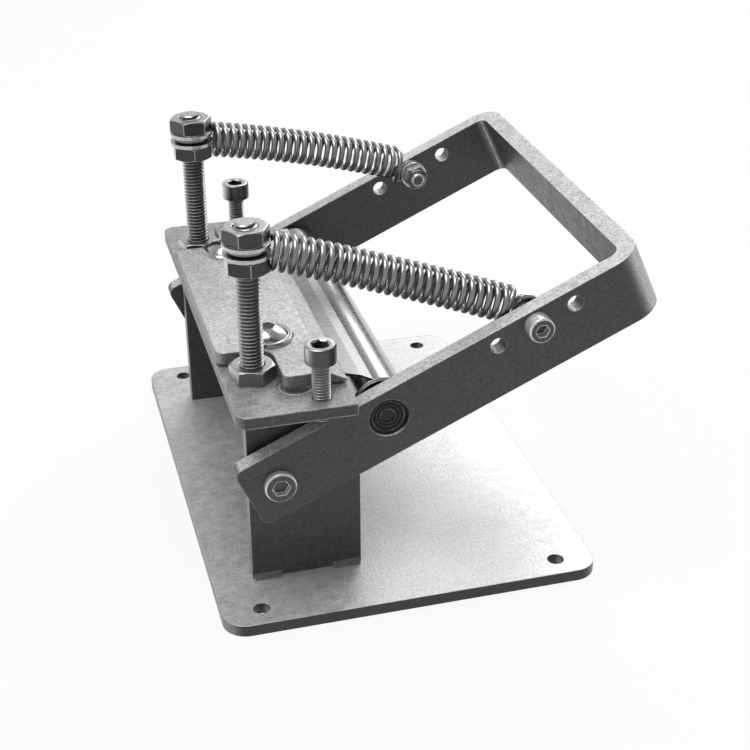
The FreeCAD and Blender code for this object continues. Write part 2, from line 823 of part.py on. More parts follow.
def biarc(start, start_way, finish, finish_way):
    """Two arcs that join two stations smoothly."""
    chord = finish - start
    a = 2 * (1 - start_way.dot(finish_way))
    b = 2 * chord.dot(start_way + finish_way)
    c = chord.dot(chord)
    if a < 1e-9:
        reach = c / b
    else:
        reach = (-b + math.sqrt(b * b + 4 * a * c)) / (2 * a)
    first = start + start_way * reach
    second = finish - finish_way * reach
    joint = (first + second) * 0.5
    join_way = (second - first).normalize()
    return [arc_through(start, start_way, joint), arc_through(joint, join_way, finish)]


def make_spring(side, name):
    """An extension spring: a loop on the stud, the coil and a loop on the anchor."""
    stations = spring_stations(side)
    arcs = []
    for here, ahead in zip(stations, stations[1:]):
        arcs.extend(biarc(here[0], here[1], ahead[0], ahead[1]))
    path = Part.Wire([edge for edge, radius in arcs])
    points = []
    for edge, radius in arcs:
        count = max(2, int(math.ceil(edge.Length / path_step)) + 1)
        points.extend(edge.discretize(count)[:-1])
    travelled = [0.0]
    for a, b in zip(points, points[1:]):
        travelled.append(travelled[-1] + (b - a).Length)
    least = 1e9
    apart = math.pi * coil_r
    for i in range(len(points)):
        for j in range(i + 1, len(points)):
            if travelled[j] - travelled[i] > apart:
                least = min(least, (points[i] - points[j]).Length)
    tightest = min(radius for edge, radius in arcs)
    print(name, "least gap", round(least - wire_d, 3), "tightest bend", round(tightest, 3))
    start, way = stations[0]
    ring = Part.Wire(Part.Circle(start, way, wire_d / 2).toShape())
    shell = Part.BRepOffsetAPI.MakePipeShell(path)
    shell.add(ring)
    shell.build()
    shell.makeSolid()
    solid = shell.shape()
    if solid.Volume < 0:
        solid.reverse()
    expected = math.pi * wire_d ** 2 / 4 * path.Length
    print(name, "volume", round(solid.Volume, 2), "of", round(expected, 2))
    save(name, [solid])


os.makedirs("parts", exist_ok=True)
make_base_plate()
make_upright(-1, "upright_near")
make_upright(1, "upright_far")
make_top_plate()
make_blade()
make_clamp_plate()
make_clamp_screws()
make_studs()
make_adjusting_screw(-1, "adjusting_screw_near")
make_adjusting_screw(1, "adjusting_screw_far")
make_handle_frame()
make_pivots()
make_bearings()
make_roller()
make_anchors()
make_spring(-1, "spring_near")
make_spring(1, "spring_far")
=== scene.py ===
import math

import bpy
from mathutils import Matrix, Vector


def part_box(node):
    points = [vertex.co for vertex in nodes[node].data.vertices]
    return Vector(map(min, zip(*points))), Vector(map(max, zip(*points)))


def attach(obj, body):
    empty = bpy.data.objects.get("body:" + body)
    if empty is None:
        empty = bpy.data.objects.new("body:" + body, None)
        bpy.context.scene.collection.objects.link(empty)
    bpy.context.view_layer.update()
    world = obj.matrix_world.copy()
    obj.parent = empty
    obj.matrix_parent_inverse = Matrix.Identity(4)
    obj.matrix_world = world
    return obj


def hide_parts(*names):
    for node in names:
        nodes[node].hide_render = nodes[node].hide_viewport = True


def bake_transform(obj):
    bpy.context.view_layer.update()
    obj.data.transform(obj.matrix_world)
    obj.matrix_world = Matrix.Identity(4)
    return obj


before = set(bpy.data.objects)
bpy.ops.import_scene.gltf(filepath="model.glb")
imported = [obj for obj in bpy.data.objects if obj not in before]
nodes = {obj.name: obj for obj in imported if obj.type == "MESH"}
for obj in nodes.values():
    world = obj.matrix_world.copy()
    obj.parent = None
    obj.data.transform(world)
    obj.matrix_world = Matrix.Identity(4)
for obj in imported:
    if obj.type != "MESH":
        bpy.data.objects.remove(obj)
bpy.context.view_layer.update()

MM = 0.001
TO_MM = (1000, 1000, 1000)


# Materials
class Surface:
    """A node material with its shader, and short ways to add nodes.

    place is the point on the piece in millimetres, and facing its normal.
    """

    def __init__(self, name):
        self.material = bpy.data.materials.new(name)
        self.material.use_nodes = True
        self.tree = self.material.node_tree
        self.tree.nodes.clear()
        self.out = self.tree.nodes.new("ShaderNodeOutputMaterial")
        self.shader = self.tree.nodes.new("ShaderNodeBsdfPrincipled")
        self.tree.links.new(self.shader.outputs[0], self.out.inputs["Surface"])
        coordinates = self.tree.nodes.new("ShaderNodeTexCoord")
        scale = self.tree.nodes.new("ShaderNodeVectorMath")
        scale.operation = "MULTIPLY"
        scale.inputs[1].default_value = TO_MM
        self.tree.links.new(coordinates.outputs["Object"], scale.inputs[0])
        self.place = scale.outputs[0]
        self.facing = coordinates.outputs["Normal"]
        self.rounded = None

    def link(self, source, target):
        if isinstance(source, tuple):
            target.default_value = source[: len(target.default_value)]
        elif isinstance(source, (int, float)):
            target.default_value = source
        else:
            self.tree.links.new(source, target)

    def set(self, **values):
        for name, value in values.items():
            self.shader.inputs[name.replace("_", " ")].default_value = value
        return self

    def math(self, operation, a, b=0.0, c=0.0):
        node = self.tree.nodes.new("ShaderNodeMath")
        node.operation = operation
        self.link(a, node.inputs[0])
        self.link(b, node.inputs[1])
        self.link(c, node.inputs[2])
        return node.outputs[0]

    def axis(self, vector, letter):
        node = self.tree.nodes.new("ShaderNodeSeparateXYZ")
        self.link(vector, node.inputs[0])
        return node.outputs["XYZ".index(letter)]

    def stretch(self, vector, factors):
        node = self.tree.nodes.new("ShaderNodeVectorMath")
        node.operation = "MULTIPLY"
        self.link(vector, node.inputs[0])
        node.inputs[1].default_value = factors
        return node.outputs[0]

    def noise(self, scale, detail=3.0, rough=0.6, vector=None):
        node = self.tree.nodes.new("ShaderNodeTexNoise")
        self.link(self.place if vector is None else vector, node.inputs["Vector"])
        node.inputs["Scale"].default_value = scale
        node.inputs["Detail"].default_value = detail
        node.inputs["Roughness"].default_value = rough
        return node.outputs["Fac"]

    def ramp(self, value, low, high, to_low=0.0, to_high=1.0, smooth=True):
        node = self.tree.nodes.new("ShaderNodeMapRange")
        node.interpolation_type = "SMOOTHSTEP" if smooth else "LINEAR"
        self.link(value, node.inputs["Value"])
        node.inputs["From Min"].default_value = low
        node.inputs["From Max"].default_value = high
        node.inputs["To Min"].default_value = to_low
        node.inputs["To Max"].default_value = to_high
        return node.outputs["Result"]

    def mix(self, share, a, b):
        node = self.tree.nodes.new("ShaderNodeMix")
        node.data_type = "RGBA"
        self.link(share, node.inputs["Factor"])
        self.link(a, node.inputs[6])
        self.link(b, node.inputs[7])
        return node.outputs[2]

    def times(self, colour, value):
        node = self.tree.nodes.new("ShaderNodeVectorMath")
        node.operation = "SCALE"
        self.link(colour, node.inputs[0])
        self.link(value, node.inputs["Scale"])
        return node.outputs[0]

    def rough(self, value):
        self.link(value, self.shader.inputs["Roughness"])

    def colour(self, value):
        self.link(value, self.shader.inputs["Base Color"])

    def edges(self, radius, low=0.004, high=0.09):
        """1 along edges and corners, 0 on the faces between them."""
        self.rounded = self.tree.nodes.new("ShaderNodeBevel")
        self.rounded.samples = 8
        self.rounded.inputs["Radius"].default_value = radius * MM
        flat = self.tree.nodes.new("ShaderNodeNewGeometry")
        same = self.tree.nodes.new("ShaderNodeVectorMath")
        same.operation = "DOT_PRODUCT"
        self.tree.links.new(self.rounded.outputs[0], same.inputs[0])
        self.tree.links.new(flat.outputs["Normal"], same.inputs[1])
        away = self.math("SUBTRACT", 1.0, same.outputs["Value"])
        return self.ramp(away, low, high)

    def bump(self, height, distance, strength=1.0):
        node = self.tree.nodes.new("ShaderNodeBump")
        node.inputs["Distance"].default_value = distance * MM
        node.inputs["Strength"].default_value = strength
        self.link(height, node.inputs["Height"])
        if self.rounded:
            self.link(self.rounded.outputs[0], node.inputs["Normal"])
        self.tree.links.new(node.outputs[0], self.shader.inputs["Normal"])


def grey(value):
    return (value, value, value, 1.0)


EDGE_HIGHLIGHT = 0.62               # tone of the painted highlight along edges
# Between which parts of the normal along X the painted front, rear and right tones of light
# and shade set in
FRONT_TURN, REAR_TURN, RIGHT_TURN = (0.2, 0.8), (-0.45, -0.95), (0.05, 0.6)
# Painted shade along the bend line inside the lever's far corner
CREASE_CORE, CREASE_EDGE = 0.08, 0.4   # millimetres off the line: full, and gone
SHADE_LINE_DARK = 0.65


def plate_steel(name, top, side, rear, front, rough=0.42, metal=0.35, grain=0.65,
                edge=0.5, rim=0.45, brush=0.0, crease_shade=None, bend=(0.4, 0.99)):
    """Blasted plate with one tone for each way that its faces look.

    top is the tone of the flat, side of the faces across Y, and rear and front of those
    across X; these tones are painted light and shade by how each face looks. grain and brush
    are how strong the marks are, edge how wide the painted edge highlights are in
    millimetres and rim how strong. crease places a painted shade line inside a bend.
    """
    s = Surface(name)
    across = s.math("ABSOLUTE", s.axis(s.facing, "Y"))
    along = s.axis(s.facing, "X")
    # Painted light and shade: a tone for each way the faces look
    base = s.mix(s.ramp(along, *FRONT_TURN), grey(top), grey(front))
    base = s.mix(s.ramp(along, *REAR_TURN), base, grey(rear))
    base = s.mix(s.ramp(across, *bend), base, grey(side))
    fine = s.ramp(s.noise(1.0, 2.0, 0.8), 0.3, 0.7, smooth=False)
    coarse = s.noise(0.3, 4.0, 0.6)
    cloud = s.noise(0.03, 2.0, 0.5)
    shade = s.math("MULTIPLY", s.math("SUBTRACT", fine, 0.5), grain)
    shade = s.math("MULTIPLY_ADD", s.math("SUBTRACT", coarse, 0.5), 0.5, shade)
    shade = s.math("MULTIPLY_ADD", s.math("SUBTRACT", cloud, 0.5), 0.3, shade)
    shade = s.math("ADD", shade, 1.0)
    if brush:
        lines = s.noise(1.6, 2.0, 0.7, s.stretch(s.place, (0.06, 2.0, 1.0)))
        shade = s.math("MULTIPLY_ADD", s.math("SUBTRACT", lines, 0.5), brush, shade)
    # Painted highlight along the edges, patchy with the coarse noise
    edge_highlight = s.math("MULTIPLY", s.edges(edge), s.ramp(coarse, 0.3, 0.6, 0.2 * rim, rim))
    # Painted shade line across the inner face of the far arm, where its bend turns from lit
    # to shaded
    if crease_shade:
        lean, place = crease_shade
        run = s.math("MULTIPLY", s.axis(s.place, "X"), math.cos(lean))
        run = s.math("MULTIPLY_ADD", s.axis(s.place, "Z"), math.sin(lean), run)
        run = s.math("ADD", run, s.math("MULTIPLY", coarse, 0.5))
        off = s.math("ABSOLUTE", s.math("SUBTRACT", run, place))
        far_side = s.math("GREATER_THAN", s.axis(s.place, "Y"), 0.0)
        inner = s.math("LESS_THAN", s.axis(s.facing, "Y"), -0.2)
        shown = s.math("MULTIPLY", far_side, inner)
        dark = s.ramp(off, CREASE_CORE, CREASE_EDGE, SHADE_LINE_DARK, 0.0)
        line = s.math("MULTIPLY", dark, shown)
        shade = s.math("MULTIPLY", shade, s.math("SUBTRACT", 1.0, line))
    s.colour(s.mix(edge_highlight, s.times(base, shade), grey(EDGE_HIGHLIGHT)))
    s.rough(s.ramp(coarse, 0.3, 0.7, rough - 0.06, rough + 0.08))
    s.set(Metallic=metal)
    s.bump(fine, 0.05, 0.7)
    return s.material


def bright_metal(name, tone, rough, across=0.5, under=0.8, right=1.0, metal=1.0,
                 edge=0.15, rim=0.8, turn=(0.3, 0.97), fall=(-0.7, 0.3),
                 streak=None, marks=0.2, cloudy=0.24, pits=0.4):
    """Plated or polished steel.

    across, under and right scale the tone where a face looks along Y, down or along +X, as
    painted shade; turn and fall are where the first two set in. edge and rim set a painted
    highlight along the edges.
    """
    s = Surface(name)
    vector = s.stretch(s.place, streak) if streak else None
    fine = s.noise(1.6, 3.0, 0.6, vector)
    cloud = s.noise(0.2, 3.0, 0.6)
    shade = s.math("MULTIPLY", s.math("SUBTRACT", fine, 0.5), marks)
    shade = s.math("MULTIPLY_ADD", s.math("SUBTRACT", cloud, 0.5), cloudy, shade)
    shade = s.math("ADD", shade, 1.0)
    # Painted shade: darker where a face looks along Y, down or along +X
    side = s.math("ABSOLUTE", s.axis(s.facing, "Y"))
    dim = s.math("MULTIPLY", s.ramp(side, turn[0], turn[1], 1.0, across),
                 s.ramp(s.axis(s.facing, "Z"), fall[0], fall[1], under, 1.0))
    dim = s.math("MULTIPLY", dim, s.ramp(s.axis(s.facing, "X"), *RIGHT_TURN, 1.0, right))
    # Painted highlight along the edges
    if edge:
        mask = s.edges(edge)
        dim = s.math("MAXIMUM", dim, s.math("MULTIPLY", mask, rim))
    s.colour(s.times(grey(tone), s.math("MULTIPLY", shade, dim)))
    s.rough(s.ramp(fine, 0.3, 0.7, rough - 0.05, rough + 0.06))
    s.set(Metallic=metal)
    s.bump(fine, 0.006, pits)
    return s.material


# The painted shade line inside the lever's far corner, where the bend turns from lit to
# shaded, runs across the bar, CREASE millimetres from the origin along the tilted lever
TILT = math.radians(24.43)
PIVOT_X, PIVOT_Z = -40.87, 43.86
CREASE_FROM_PIVOT = 126.7
CREASE = CREASE_FROM_PIVOT + PIVOT_X * math.cos(TILT) + PIVOT_Z * math.sin(TILT)
# The tones by facing below (top, side, rear, front; across, under, right) are painted light
# and shade
base_steel = plate_steel(
    "base_steel", top=0.7, side=0.05, rear=0.24, front=0.3, rough=0.38, rim=0.25,
    metal=0.5, grain=0.34, brush=0.5)
arm_steel = plate_steel(
    "arm_steel", top=0.74, side=0.068, rear=0.1, front=0.58, rough=0.42,
    crease_shade=(TILT, CREASE), bend=(0.75, 0.998))
upright_steel = plate_steel(
    "upright_steel", top=0.2, side=0.06, rear=0.32, front=0.2, rim=0.25)
top_steel = plate_steel(
    "top_steel", top=0.39, side=0.07, rear=0.2, front=0.3, rough=0.42, edge=0.9, rim=0.9)
clamp_steel = plate_steel(
    "clamp_steel", top=0.64, side=0.2, rear=0.3, front=0.6, rough=0.42, edge=0.7, rim=0.6)
blade_steel = bright_metal(
    "blade_steel", tone=0.43, rough=0.27, across=0.4, streak=(0.12, 3.0, 1.0), marks=0.2,
    cloudy=0.1, pits=0.2)
roller_steel = bright_metal(
    "roller_steel", tone=0.5, rough=0.24, across=0.07, under=0.45, turn=(0.85, 0.99),
    streak=(0.2, 5.0, 0.2), marks=0.06, cloudy=0.06, pits=0.1)
# Tone raised to paint light into the plug welds' shaded pits
weld_steel = bright_metal(
    "weld_steel", tone=0.9, rough=0.3, metal=0.6, marks=0.2, edge=0.0)
zinc = bright_metal(
    "zinc", tone=0.7, rough=0.32, across=0.085, edge=0.45, turn=(0.15, 0.6), rim=1.0)
base_zinc = bright_metal(
    "base_zinc", tone=0.6, rough=0.34, across=0.36, edge=0.5, turn=(0.3, 0.9))
button_steel = bright_metal("button_steel", tone=0.75, rough=0.18, across=0.6)
stud_steel = bright_metal(
    "stud_steel", tone=0.7, rough=0.34, across=0.5, under=0.15, right=0.1, edge=0.0)
# Painted shade in the thread's roots
root_shade_steel = bright_metal(
    "root_shade_steel", tone=0.07, rough=0.45, across=0.5, under=0.4, edge=0.0)
adjust_steel = bright_metal(
    "adjust_steel", tone=0.8, rough=0.34, across=0.12, under=0.3, right=0.3, edge=0.3,
    turn=(0.15, 0.85), rim=1.0)
washer_steel = bright_metal(
    "washer_steel", tone=0.66, rough=0.3, across=0.75, edge=0.25, rim=1.0)
ring_steel = bright_metal(
    "ring_steel", tone=0.36, rough=0.3, across=0.06, edge=0.16, rim=1.0)
screw_steel = bright_metal(
    "screw_steel", tone=0.8, rough=0.36, metal=0.6, across=0.1, edge=0.45,
    turn=(0.75, 0.98), rim=1.2)
ball_steel = bright_metal("ball_steel", tone=0.7, rough=0.08)
spring_wire = bright_metal(
    "spring_wire", tone=0.52, rough=0.31, across=0.8, under=0.2, fall=(-0.4, 0.7),
    edge=0.0, marks=0.08, cloudy=0.1, pits=0.08)

finish = {
    "base_plate": base_steel,
    "upright_near": upright_steel,
    "upright_far": upright_steel,
    "top_plate": top_steel,
    "blade": blade_steel,
    "clamp_plate": clamp_steel,
    "clamp_screws": button_steel,
    "spring_studs": stud_steel,
    "stud_base_nuts": base_zinc,
    "stud_lower_nuts": zinc,
    "stud_top_nuts": zinc,
    "stud_washers": washer_steel,
    "adjusting_screw_near": adjust_steel,
    "adjusting_screw_far": adjust_steel,
    "handle_frame": arm_steel,
    "pivot_screws": screw_steel,
    "pivot_washers": washer_steel,
    "bearing_outer_rings": ring_steel,
    "bearing_inner_rings": ring_steel,
    "bearing_balls": ball_steel,
    "roller": roller_steel,
    "anchor_screws": screw_steel,
    "anchor_washers": washer_steel,
    "anchor_nuts": zinc,
    "spring_near": spring_wire,
    "spring_far": spring_wire,
}
for name, node in nodes.items():
    node.data.materials.clear()
    node.data.materials.append(finish[name])


# Pieces that are built here
def piece(name, points, faces, material, body, replaced, sharp=32, roots=()):
    """A mesh from points in millimetres; faces in roots get the painted shade of the
    thread's roots.
    """
    mesh = bpy.data.meshes.new(name)
    mesh.from_pydata([Vector(point) * MM for point in points], [], faces)
    mesh.update()
    mesh.polygons.foreach_set("use_smooth", [True] * len(mesh.polygons))
    mesh.set_sharp_from_angle(angle=math.radians(sharp))
    mesh.materials.append(material)
    if roots:
        mesh.materials.append(root_shade_steel)
        for k in roots:
            mesh.polygons[k].material_index = 1
    obj = bpy.data.objects.new(name, mesh)
    bpy.context.scene.collection.objects.link(obj)
    if body:
        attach(obj, body)
    if replaced:
        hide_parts(replaced)
    return obj


THREAD_DEPTH = 0.6134     # of the pitch, ISO metric
# The crest's two ends and the root's two ends, as (share of pitch, share of depth)
THREAD_FORM = ((0.0, 0.0), (0.125, 0.0), (0.4375, 1.0), (0.6875, 1.0))


def thread(points, faces, roots, base, length, radius, pitch, tip, foot, steps=48):
    """A screw thread standing on base, with chamfers tip and foot at its ends."""
    depth = THREAD_DEPTH * pitch
    form = [(part, depth * cut) for part, cut in THREAD_FORM]
    rows = steps * (math.ceil(length / pitch) + 2)
    first = len(points)
    for row in range(rows + 1):
        angle = 2 * math.pi * row / steps
        for part, cut in form:
            z = (row / steps - 1.5 + part) * pitch
            z = min(max(z, 0.0), length)
            r = min(radius - cut, radius - foot + z, radius - tip + length - z)
            points.append((
                base[0] + r * math.cos(angle), base[1] + r * math.sin(angle), base[2] + z))
    for row in range(rows):
        here = first + 4 * row
        above = here + 4 * steps
        strip = [(here + k, here + 4 + k, here + 5 + k, here + k + 1) for k in range(3)]
        if row + steps < rows:
            strip.append((here + 3, here + 7, above + 4, above))
        for k, corners in enumerate(strip):
            # Past either end the form is flat and its faces would be empty
            if len({points[corner][2] for corner in corners}) == 1:
                continue
            if k == 2:
                roots.append(len(faces))
            faces.append(corners)
    for z, r, back in ((0.0, radius - foot, True), (length, radius - tip, False)):
        ring = []
        for k in range(steps):
            angle = 2 * math.pi * k / steps
            ring.append(len(points))
            points.append((
                base[0] + r * math.cos(angle), base[1] + r * math.sin(angle), base[2] + z))
        faces.append(tuple(reversed(ring)) if back else tuple(ring))


def turned_rings(points, faces, centre, rings, steps=96):
    """Rings of (radius, height, across flats or 0), joined in order, closed at both ends."""
    first = len(points)
    for radius, z, flats in rings:
        for k in range(steps):
            angle = 2 * math.pi * k / steps
            r = radius
            if flats:
                inside = (angle + math.pi / 6) % (math.pi / 3) - math.pi / 6
                r = min(radius, flats / 2 / math.cos(inside))
            x = centre[0] + r * math.cos(angle)
            y = centre[1] + r * math.sin(angle)
            points.append((x, y, centre[2] + z))
    for row in range(len(rings) - 1):
        for k in range(steps):
            a = first + row * steps + k
            b = first + row * steps + (k + 1) % steps
            faces.append((a, b, b + steps, a + steps))
    last = first + (len(rings) - 1) * steps
    faces.append(tuple(range(last, last + steps)))
    faces.append(tuple(reversed(range(first, first + steps))))


def middle(name):
    """A node's middle and the two corners of its box, in millimetres."""
    low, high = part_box(name)
    return (Vector(low) + Vector(high)) * 500, Vector(low) * 1000, Vector(high) * 1000


SIDES = (-1, 1)           # near, far

# The two long studs, drawn a little thinner than M8 to match the photo
STUD_NODE_R = 4.0
STUD_R, STUD_PITCH = 3.85, 1.25
STUD_TIP, STUD_FOOT = 0.87, 0.77
centre, low, high = middle("spring_studs")
stud_x, stud_y = centre.x, high.y - STUD_NODE_R
points, faces, roots = [], [], []
for side in SIDES:
    foot = (stud_x, side * stud_y, low.z)
    thread(points, faces, roots, foot, high.z - low.z, STUD_R, STUD_PITCH, STUD_TIP,
           STUD_FOOT)
piece("studs_threaded", points, faces, stud_steel, "stand", "spring_studs",
      roots=roots)

# The adjusting screws, M6 with 1.0 mm pitch under a socket head
ADJUST_R, ADJUST_PITCH = 2.98, 1.0
ADJUST_TIP, ADJUST_FOOT = 0.2, 0.65
INTO_HEAD = 0.1           # how far the thread reaches into the head
HEAD_H = 6.0
# Up the head and down its socket, as (radius, height, across flats or 0)
HEAD_RINGS = (
    (4.6, 0.0, 0), (4.97, 0.15, 0), (5.0, 0.4, 0), (5.0, 5.35, 0), (4.9, 5.62, 0),
    (4.6, 5.9, 0), (4.42, 5.97, 0), (4.3, 5.98, 0), (3.2, 5.98, 0), (2.85, 5.75, 0),
    (2.85, 5.6, 5.0), (2.85, 2.9, 5.0), (2.3, 2.75, 4.4), (0.3, 2.1, 0),
)
for name, body in (
    ("adjusting_screw_near", "screw_near"), ("adjusting_screw_far", "screw_far")
):
    centre, low, high = middle(name)
    points, faces, roots = [], [], []
    seat = high.z - HEAD_H
    foot = (centre.x, centre.y, low.z)
    thread(points, faces, roots, foot, seat - low.z + INTO_HEAD, ADJUST_R, ADJUST_PITCH,
           ADJUST_TIP, ADJUST_FOOT)
    turned_rings(points, faces, (centre.x, centre.y, seat), HEAD_RINGS)
    piece(name + "_threaded", points, faces, adjust_steel, body, name, roots=roots)


# The plug welds in the round pits over the uprights: a raised rim, then a dip
PLUG_X, PLUG_Y, PLUG_Z = -32.3, 60.2, 68.8
PLUG_RINGS = (
    (5.8, 0.0, 0), (5.8, 2.2, 0), (5.65, 2.5, 0), (5.3, 2.62, 0), (4.95, 2.5, 0),
    (4.7, 2.1, 0), (4.5, 1.5, 0), (4.2, 0.9, 0), (3.7, 0.6, 0), (3.2, 0.62, 0),
    (2.6, 0.45, 0), (1.8, 0.52, 0), (1.0, 0.42, 0), (0.3, 0.44, 0),
)
points, faces = [], []
for side in SIDES:
    turned_rings(points, faces, (PLUG_X, side * PLUG_Y, PLUG_Z), PLUG_RINGS)
piece("plug_welds", points, faces, weld_steel, "stand", None, sharp=60)


# The springs: a loop on the stud, the coil, and a loop on the anchor
WIRE = 1.95
COIL = 5.32               # radius of the coil's middle line
TURNS = 26                # turns from the coil's start to its finish
STUD_LOOP_R = 5.3
STUD_WASHER_R = 7.5
ANCHOR_WASHER_R = 5.0
COIL_GAP = 0.1
ANCHOR = Vector((42.4642, 0.0, 88.4146))
HOOK_Y = 64.125
LOOP_Z = 115.875
COIL_START = Vector((7.7, 0, -1.575))    # from the middle of the stud's loop
LOOP_STATIONS = 4         # steps along a loop
STUD_LOOP_END, STUD_LOOP_TURN = 90, 270.0    # degrees
HOOK_TURN = 280.0
EXIT_WAY = Vector((0.6, -0.7, 0))
X_WAY, Y_WAY, Z_WAY = Vector((1, 0, 0)), Vector((0, 1, 0)), Vector((0, 0, 1))


class Spring:
    """What sets one spring apart from the other."""

    def __init__(self, back, inward, up, bow, last_turn, entry, hook_r, hook_shift, inlet):
        self.back, self.inward, self.up = back, inward, up    # hook to the coil's finish
        self.bow = bow                  # how far the coil's middle stands up
        self.last_turn = last_turn      # where the wire leaves the coil
        self.entry = entry              # angle where it meets the hook's loop
        self.hook_r, self.hook_shift = hook_r, hook_shift
        self.inlet = inlet              # a point on the way in from the coil, or None


SPRINGS = {
    -1: Spring(
        back=8.43, inward=4.74, up=3.13, bow=0.56, last_turn=27.0, entry=180.0,
        hook_r=5.5, hook_shift=Vector((-0.953, 0, 0.303)) * 1.9, inlet=None),
    1: Spring(
        back=3.71, inward=4.35, up=5.23, bow=1.55, last_turn=24.25, entry=250.0,
        hook_r=3.8, hook_shift=Vector((0, 0, 0)), inlet=Vector((8.46, 4.33, 0.21))),
}


def coil_point(turn, start, finish, bow):
    """A point on the coil's wire, turns of it from the start."""
    share = turn / TURNS
    lift = 4 * bow * share * (1 - share)
    centre = start + (finish - start) * share + Z_WAY * lift
    along = (finish - start + Z_WAY * 4 * bow * (1 - 2 * share)).normalized()
    up = (Z_WAY - along * along.z).normalized()
    across = up.cross(along)
    angle = 2 * math.pi * turn
    return centre + (up * math.cos(angle) - across * math.sin(angle)) * COIL


def loop_station(centre, radius, right, up, angle, way):
    """A point on a loop and the direction of its wire there."""
    a = math.radians(angle)
    out = right * math.cos(a) + up * math.sin(a)
    return centre + out * radius, (up * math.cos(a) - right * math.sin(a)) * way


def spring_route(side):
    """The stations of one spring's wire, as (point, direction)."""
    spring = SPRINGS[side]
    stud = Vector((stud_x, side * stud_y, LOOP_Z))
    hook = Vector((ANCHOR.x, side * HOOK_Y, ANCHOR.z))
    start = stud + COIL_START
    finish = Vector((
        ANCHOR.x - spring.back, side * (HOOK_Y - spring.inward), ANCHOR.z + spring.up))
    route = []
    for step in range(LOOP_STATIONS + 1):
        angle = STUD_LOOP_END + STUD_LOOP_TURN * (1 - step / LOOP_STATIONS)
        route.append(loop_station(stud, STUD_LOOP_R, X_WAY, Y_WAY, angle, -1))
    clear = STUD_WASHER_R + WIRE / 2 + COIL_GAP
    leave = math.sqrt(clear ** 2 - STUD_LOOP_R ** 2)
    route.append((stud + Vector((leave, STUD_LOOP_R, 0)), EXIT_WAY.normalized()))
    last = spring.last_turn
    for turn in [half / 2 for half in range(math.ceil(2 * last))] + [last]:
        before = coil_point(turn - 0.001, start, finish, spring.bow)
        after = coil_point(turn + 0.001, start, finish, spring.bow)
        place = coil_point(turn, start, finish, spring.bow)
        route.append((place, (after - before).normalized()))
    if spring.inlet is not None:
        route.append((hook - spring.inlet, Y_WAY))
        clear = ANCHOR_WASHER_R + WIRE / 2 + COIL_GAP
        run = math.sqrt(clear ** 2 - spring.hook_r ** 2)
        first, way = loop_station(hook, spring.hook_r, X_WAY, Z_WAY, spring.entry, 1)
        route.append((first - way * run, way))
    hook = hook + spring.hook_shift
    for step in range(LOOP_STATIONS + 1):
        angle = spring.entry + HOOK_TURN * step / LOOP_STATIONS
        route.append(loop_station(hook, spring.hook_r, X_WAY, Z_WAY, angle, 1))
    return route


STRAIGHT = 1e-4           # millimetres off the line where an arc counts as straight


def arc_points(start, way, finish, gap):
    """Even points on the arc that leaves start along way and meets finish."""
    chord = finish - start
    side = chord - way * chord.dot(way)
    if side.length < STRAIGHT:
        count = max(1, round(chord.length / gap))
        return [start + chord * (k / count) for k in range(count)]
    side.normalize()
    angle = way.angle(chord)
    radius = chord.length / 2 / math.sin(angle)
    centre = start + side * radius
    count = max(2, round(2 * angle * radius / gap))
    turns = [2 * angle * k / count for k in range(count)]
    return [centre + (way * math.sin(t) - side * math.cos(t)) * radius for t in turns]


PARALLEL = 1e-9           # below this, two stations face the same way


def wire_line(route, gap=0.55):
    """Even points along the two arcs that join each pair of stations."""
    line = []
    for (start, leave), (finish, arrive) in zip(route, route[1:]):
        chord = finish - start
        a = 2 * (1 - leave.dot(arrive))
        b = 2 * chord.dot(leave + arrive)
        c = chord.dot(chord)
        if a < PARALLEL:
            reach = c / b
        else:
            reach = (math.sqrt(b * b + 4 * a * c) - b) / (2 * a)
        first = start + leave * reach
        second = finish - arrive * reach
        joint = (first + second) / 2
        line += arc_points(start, leave, joint, gap)
        line += arc_points(joint, (second - first).normalized(), finish, gap)
    return line + [route[-1][0]]


WIRE_END = 0.12           # how far the wire's two end rings are drawn in


def swept(line, radius, sides=16):
    """A tube that carries its ring along without twisting it."""
    points, faces = [], []
    count = len(line)
    ways = [(line[min(k + 1, count - 1)] - line[max(k - 1, 0)]).normalized()
            for k in range(count)]
    out = ways[0].orthogonal().normalized()
    rows = [(line[0], ways[0], radius - WIRE_END)]
    rows += [(place, way, radius) for place, way in zip(line[1:-1], ways[1:-1])]
    rows += [(line[-1], ways[-1], radius - WIRE_END)]
    for place, way, r in rows:
        out = (out - way * out.dot(way)).normalized()
        side = way.cross(out)
        for k in range(sides):
            angle = 2 * math.pi * k / sides
            points.append(place + (out * math.cos(angle) + side * math.sin(angle)) * r)
    for row in range(len(rows) - 1):
        for k in range(sides):
            a = row * sides + k
            b = row * sides + (k + 1) % sides
            faces.append((a, b, b + sides, a + sides))
    faces.append(tuple(reversed(range(sides))))
    faces.append(tuple(range(len(points) - sides, len(points))))
    return points, faces


for side, name in ((-1, "spring_near"), (1, "spring_far")):
    points, faces = swept(wire_line(spring_route(side)), WIRE / 2)
    wire = piece(name + "_wire", points, faces, spring_wire, None, name, sharp=50)
    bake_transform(wire)

# The stage
FLOOR = 20                # metres from the middle to an edge
FLOOR_SHADE, FLOOR_SEEN = 0.45, 0.9    # its tone to the part and to the camera
FLOOR_GLOW = 0.88         # share of plain white in what the camera sees
HORIZON = 0.905           # the floor's tone far away, for what lies past its edge
floor_mesh = bpy.data.meshes.new("floor")
floor_mesh.from_pydata(
    [(-FLOOR, -FLOOR, 0), (FLOOR, -FLOOR, 0), (FLOOR, FLOOR, 0), (-FLOOR, FLOOR, 0)],
    [], [(0, 1, 2, 3)],
)
floor = bpy.data.objects.new("floor", floor_mesh)
bpy.context.scene.collection.objects.link(floor)


